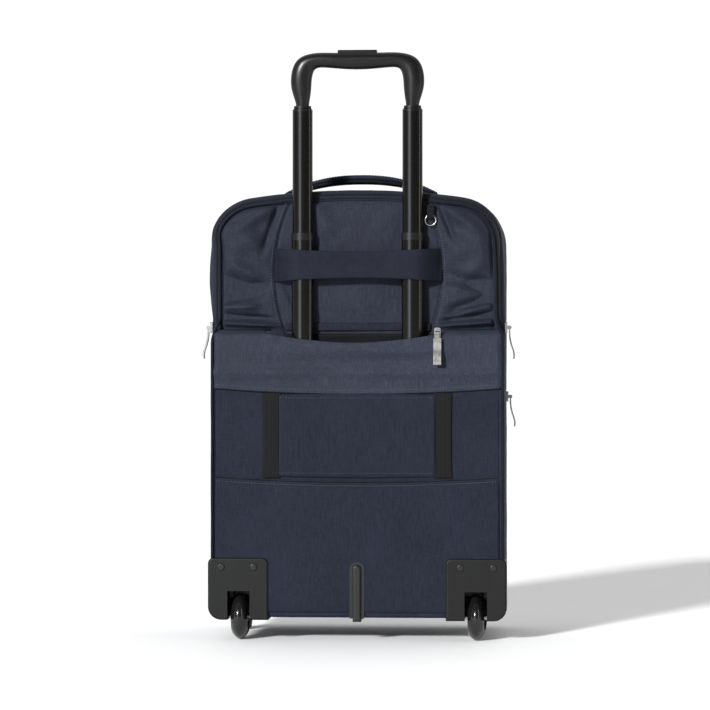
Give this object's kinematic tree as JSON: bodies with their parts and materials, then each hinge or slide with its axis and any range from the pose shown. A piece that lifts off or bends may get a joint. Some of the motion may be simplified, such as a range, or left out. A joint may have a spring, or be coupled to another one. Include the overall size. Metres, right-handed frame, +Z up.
{
  "type": "softside upright suitcase",
  "caption": "Softside cabin suitcase with a telescopic trolley handle, in-line wheels, a zipped front lid, a carry handle and a sleeve on its back.",
  "frame": {"origin": "on the floor, in the middle of the overall box in plan", "axes": "+Z up; -Y the back with the trolley and wheels; +Y the front with the lid; +X to the right when the back is faced"},
  "size_m": [0.3796, 0.2386, 0.713],
  "materials": {
    "case_fabric": "woven navy nylon over foam",
    "band_fabric": "woven navy nylon",
    "elastic": "ribbed black elastic",
    "webbing": "navy webbing",
    "piping": "black piping",
    "zip_tape": "black tape with coil teeth",
    "lining": "plain grey lining",
    "board": "plain sheet",
    "guard_plastic": "fine satin grain",
    "grip_plastic": "satin black",
    "collar_plastic": "satin black",
    "tube_paint": "gloss black anodised",
    "tread": "smooth black polyurethane",
    "hub_plastic": "moulded",
    "steel": "plain",
    "pull_metal": "satin nickel"
  },
  "bodies": {
    "case": {"back_board": "board", "case_gusset": "case_fabric", "base_tray": "board", "case_lining": "lining", "lower_rear_gusset": "case_fabric", "lower_back_panel": "case_fabric", "rear_pocket_band": "band_fabric", "upper_back_panel": "case_fabric", "sleeve_panel": "band_fabric", "sleeve_elastics": "elastic", "rear_piping": "piping", "rear_zip_chain": "zip_tape", "rear_pocket_zip": "zip_tape", "tube_strap": "webbing", "carry_handle": "case_fabric", "lid_hinge_strip": "webbing", "main_zip_case_half": "zip_tape", "frame_wire_case": "steel", "corner_guards": "guard_plastic", "fasteners": "steel", "wheel_axles": "steel", "centre_skid": "guard_plastic", "front_feet": "guard_plastic", "outer_tubes": "tube_paint", "outer_collars": "collar_plastic", "tube_brackets": "guard_plastic", "d_ring_loop": "webbing"},
    "lid": {"lid_gusset": "case_fabric", "lid_front_panel": "case_fabric", "front_pocket": "case_fabric", "lid_piping": "piping", "front_zip_chain": "zip_tape", "main_zip_lid_half": "zip_tape", "frame_wire_lid": "steel"},
    "middle_stage": {"middle_tubes": "tube_paint", "middle_collars": "collar_plastic", "middle_lock_blocks": "collar_plastic"},
    "inner_stage": {"inner_tubes": "tube_paint", "inner_lock_blocks": "collar_plastic", "trolley_grip": "grip_plastic"},
    "release_button": {"grip_button": "grip_plastic", "release_linkage": "grip_plastic", "rod_springs": "steel"},
    "right_wheel": {"wheel_hub_right": "hub_plastic", "wheel_tyre_right": "tread"},
    "left_wheel": {"wheel_hub_left": "hub_plastic", "wheel_tyre_left": "tread"},
    "ring": {"d_ring": "pull_metal"},
    "rear_right_slider": {"slider_rear_right": "pull_metal"},
    "rear_right_tab": {"pull_tab_rear_right": "pull_metal"},
    "rear_left_slider": {"slider_rear_left": "pull_metal"},
    "rear_left_tab": {"pull_tab_rear_left": "pull_metal"},
    "front_slider": {"slider_front": "pull_metal"},
    "front_tab": {"pull_tab_front": "pull_metal"},
    "rear_pocket_slider": {"slider_rear_pocket": "pull_metal"},
    "rear_pocket_tab": {"pull_tab_rear_pocket": "pull_metal"},
    "main_right_slider": {"slider_main_right": "pull_metal"},
    "main_right_tab": {"pull_tab_main_right": "pull_metal"},
    "main_left_slider": {"slider_main_left": "pull_metal"},
    "main_left_tab": {"pull_tab_main_left": "pull_metal"}
  },
  "joints": [
    {"name": "lid_hinge", "type": "hinge", "parent": "case", "child": "lid", "pos_m": [-0.1785, 0.0603, 0.26], "axis": [0, 0, 1], "range_deg": [0, 165]},
    {"name": "middle_stage_slide", "type": "slide", "parent": "case", "child": "middle_stage", "axis": [0, 0, 1], "range_m": [-0.146, 0.072]},
    {"name": "inner_stage_slide", "type": "slide", "parent": "middle_stage", "child": "inner_stage", "axis": [0, 0, 1], "range_m": [0, 0.22]},
    {"name": "button_press", "type": "slide", "parent": "inner_stage", "child": "release_button", "axis": [0, 0, 1], "range_m": [-0.003, 0], "stiffness_N_per_m": 800, "springref_m": 0.003, "deforming": ["rod_springs"]},
    {"name": "right_wheel_spin", "type": "hinge", "parent": "case", "child": "right_wheel", "pos_m": [0.143, -0.0875, 0.0275], "axis": [1, 0, 0], "continuous": true},
    {"name": "left_wheel_spin", "type": "hinge", "parent": "case", "child": "left_wheel", "pos_m": [-0.143, -0.0875, 0.0275], "axis": [1, 0, 0], "continuous": true},
    {"name": "rear_right_slider_move", "type": "slide", "parent": "case", "child": "rear_right_slider", "axis": [0, 0, 1], "range_m": [0, 0.085]},
    {"name": "rear_right_tab_swing", "type": "hinge", "parent": "rear_right_slider", "child": "rear_right_tab", "pos_m": [0.1833, -0.078, 0.378], "axis": [0, -1, 0], "range_deg": [0, 140]},
    {"name": "rear_left_slider_move", "type": "slide", "parent": "case", "child": "rear_left_slider", "axis": [0, 0, 1], "range_m": [0, 0.085]},
    {"name": "rear_left_tab_swing", "type": "hinge", "parent": "rear_left_slider", "child": "rear_left_tab", "pos_m": [-0.1833, -0.078, 0.378], "axis": [0, 1, 0], "range_deg": [0, 140]},
    {"name": "front_slider_move", "type": "slide", "parent": "lid", "child": "front_slider", "axis": [0, 0, 1], "range_m": [0, 0.165]},
    {"name": "front_tab_swing", "type": "hinge", "parent": "front_slider", "child": "front_tab", "pos_m": [0.1833, 0.078, 0.292], "axis": [0, -1, 0], "range_deg": [0, 140]},
    {"name": "rear_pocket_slider_move", "type": "slide", "parent": "case", "child": "rear_pocket_slider", "axis": [-1, 0, 0], "range_m": [0, 0.006]},
    {"name": "rear_pocket_tab_swing", "type": "hinge", "parent": "rear_pocket_slider", "child": "rear_pocket_tab", "pos_m": [0.097, -0.1151, 0.371], "axis": [-1, 0, 0], "range_deg": [0, 140]},
    {"name": "main_right_slider_move", "type": "hinge", "parent": "case", "child": "main_right_slider", "pos_m": [0, 0.0603, -0.355], "axis": [0, 1, 0], "range_deg": [0, 6]},
    {"name": "main_right_tab_swing", "type": "hinge", "parent": "main_right_slider", "child": "main_right_tab", "pos_m": [0.0079, 0.0603, 0.55027], "axis": [0, -1, 0], "range_deg": [0, 140]},
    {"name": "main_left_slider_move", "type": "hinge", "parent": "case", "child": "main_left_slider", "pos_m": [0, 0.0603, -0.355], "axis": [0, -1, 0], "range_deg": [0, 6]},
    {"name": "main_left_tab_swing", "type": "hinge", "parent": "main_left_slider", "child": "main_left_tab", "pos_m": [-0.0079, 0.0603, 0.55027], "axis": [0, 1, 0], "range_deg": [0, 140]},
    {"name": "ring_swing", "type": "hinge", "parent": "case", "child": "ring", "pos_m": [0.088, -0.0914, 0.514], "axis": [-1, 0, 0], "range_deg": [0, 150]}
  ]
}
